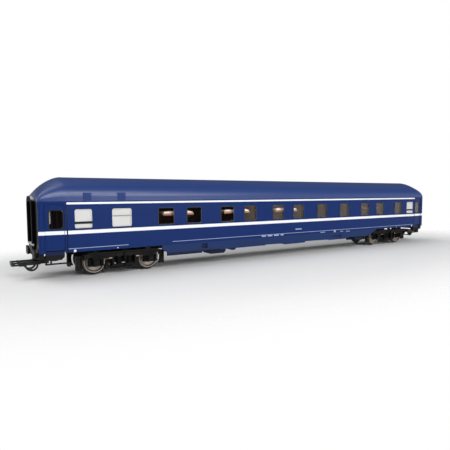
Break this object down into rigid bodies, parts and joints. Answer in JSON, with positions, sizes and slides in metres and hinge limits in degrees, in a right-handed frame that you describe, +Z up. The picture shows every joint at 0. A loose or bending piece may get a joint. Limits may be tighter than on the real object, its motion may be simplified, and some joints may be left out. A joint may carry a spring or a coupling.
{
  "type": "scale model sleeping coach",
  "caption": "Scale model of a sleeping coach: hollow body with cut windows and a domed roof, on swivelling bogies, with swinging loop couplers.",
  "frame": {"origin": "middle of the coach on the plane that the wheel flanges touch", "axes": "+X along the coach, +Y across it to the corridor side, +Z up"},
  "size_m": [0.3206, 0.0328, 0.0492],
  "materials": {
    "body_blue": "satin printed blue moulding",
    "roof_blue": "matt grey-blue moulding",
    "window_clear": "clear moulded glazing",
    "window_white": "white frosted panes",
    "frame_silver": "silver printed rims",
    "end_grey": "grey end doors",
    "plate_grey": "light grey footplates",
    "gangway_black": "black moulded gangway tubes",
    "inside_brown": "brown inside moulding",
    "berth_cream": "cream berths",
    "wheel_metal": "darkened metal wheels",
    "axle_steel": "bright steel axles",
    "coupler_black": "black couplers",
    "chassis_black": "matt black mouldings"
  },
  "bodies": {
    "coach_body": {"air_tanks": "chassis_black", "berths": "berth_cream", "body_shell": "body_blue", "bogie_pivot_pins": "chassis_black", "buffers": "chassis_black", "compartment_walls": "inside_brown", "corridor_partition": "inside_brown", "coupler_pins": "coupler_black", "end_door_windows": "window_clear", "end_doors": "end_grey", "equipment_boxes": "chassis_black", "floor_beams": "chassis_black", "footsteps": "chassis_black", "frosted_panes": "window_white", "gangway_brackets": "chassis_black", "gangway_footplates": "plate_grey", "gangway_front_tubes": "gangway_black", "gangway_rear_tubes": "gangway_black", "glazing_left": "window_clear", "glazing_right": "window_clear", "headstocks": "chassis_black", "interior_floor": "inside_brown", "pivot_bosses": "chassis_black", "roof": "roof_blue", "roof_hatches": "roof_blue", "side_door_windows": "window_clear", "side_doors": "body_blue", "side_skirts": "body_blue", "step_panels": "body_blue", "step_wells": "chassis_black", "underframe": "chassis_black", "window_frames_left": "frame_silver", "window_frames_right": "frame_silver"},
    "bogie_1": {"bogie_brake_blocks_1": "chassis_black", "bogie_dampers_1": "chassis_black", "bogie_frame_1": "chassis_black", "bogie_rail_brakes_1": "chassis_black", "bogie_springs_1": "chassis_black"},
    "wheelset_1_outer": {"wheels_1_outer": "wheel_metal", "axle_1_outer": "axle_steel"},
    "wheelset_1_inner": {"wheels_1_inner": "wheel_metal", "axle_1_inner": "axle_steel"},
    "coupler_1": {"coupler_link_1": "coupler_black", "coupler_head_1": "coupler_black"},
    "coupler_loop_1": {"coupler_loop_1": "coupler_black"},
    "bogie_2": {"bogie_brake_blocks_2": "chassis_black", "bogie_dampers_2": "chassis_black", "bogie_frame_2": "chassis_black", "bogie_rail_brakes_2": "chassis_black", "bogie_springs_2": "chassis_black"},
    "wheelset_2_outer": {"wheels_2_outer": "wheel_metal", "axle_2_outer": "axle_steel"},
    "wheelset_2_inner": {"wheels_2_inner": "wheel_metal", "axle_2_inner": "axle_steel"},
    "coupler_2": {"coupler_link_2": "coupler_black", "coupler_head_2": "coupler_black"},
    "coupler_loop_2": {"coupler_loop_2": "coupler_black"}
  },
  "joints": [
    {"name": "bogie_1_swivel", "type": "hinge", "parent": "coach_body", "child": "bogie_1", "pos_m": [-0.1092, 0, 0.0104], "axis": [0, 0, 1], "range_deg": [-18, 18]},
    {"name": "wheelset_1_outer_roll", "type": "hinge", "parent": "bogie_1", "child": "wheelset_1_outer", "pos_m": [-0.12355, 0, 0.0066], "axis": [0, 1, 0], "continuous": true},
    {"name": "wheelset_1_inner_roll", "type": "hinge", "parent": "bogie_1", "child": "wheelset_1_inner", "pos_m": [-0.09485, 0, 0.0066], "axis": [0, 1, 0], "continuous": true},
    {"name": "coupler_1_swing", "type": "hinge", "parent": "coach_body", "child": "coupler_1", "pos_m": [-0.1406, 0, 0.0091], "axis": [0, 0, 1], "range_deg": [-15, 15]},
    {"name": "coupler_loop_1_lift", "type": "hinge", "parent": "coupler_1", "child": "coupler_loop_1", "pos_m": [-0.1486, 0, 0.0077], "axis": [0, 1, 0], "range_deg": [0, 20]},
    {"name": "bogie_2_swivel", "type": "hinge", "parent": "coach_body", "child": "bogie_2", "pos_m": [0.1092, 0, 0.0104], "axis": [0, 0, 1], "range_deg": [-18, 18]},
    {"name": "wheelset_2_outer_roll", "type": "hinge", "parent": "bogie_2", "child": "wheelset_2_outer", "pos_m": [0.12355, 0, 0.0066], "axis": [0, 1, 0], "continuous": true},
    {"name": "wheelset_2_inner_roll", "type": "hinge", "parent": "bogie_2", "child": "wheelset_2_inner", "pos_m": [0.09485, 0, 0.0066], "axis": [0, 1, 0], "continuous": true},
    {"name": "coupler_2_swing", "type": "hinge", "parent": "coach_body", "child": "coupler_2", "pos_m": [0.1406, 0, 0.0091], "axis": [0, 0, 1], "range_deg": [-15, 15]},
    {"name": "coupler_loop_2_lift", "type": "hinge", "parent": "coupler_2", "child": "coupler_loop_2", "pos_m": [0.1486, 0, 0.0077], "axis": [0, -1, 0], "range_deg": [0, 20]}
  ]
}
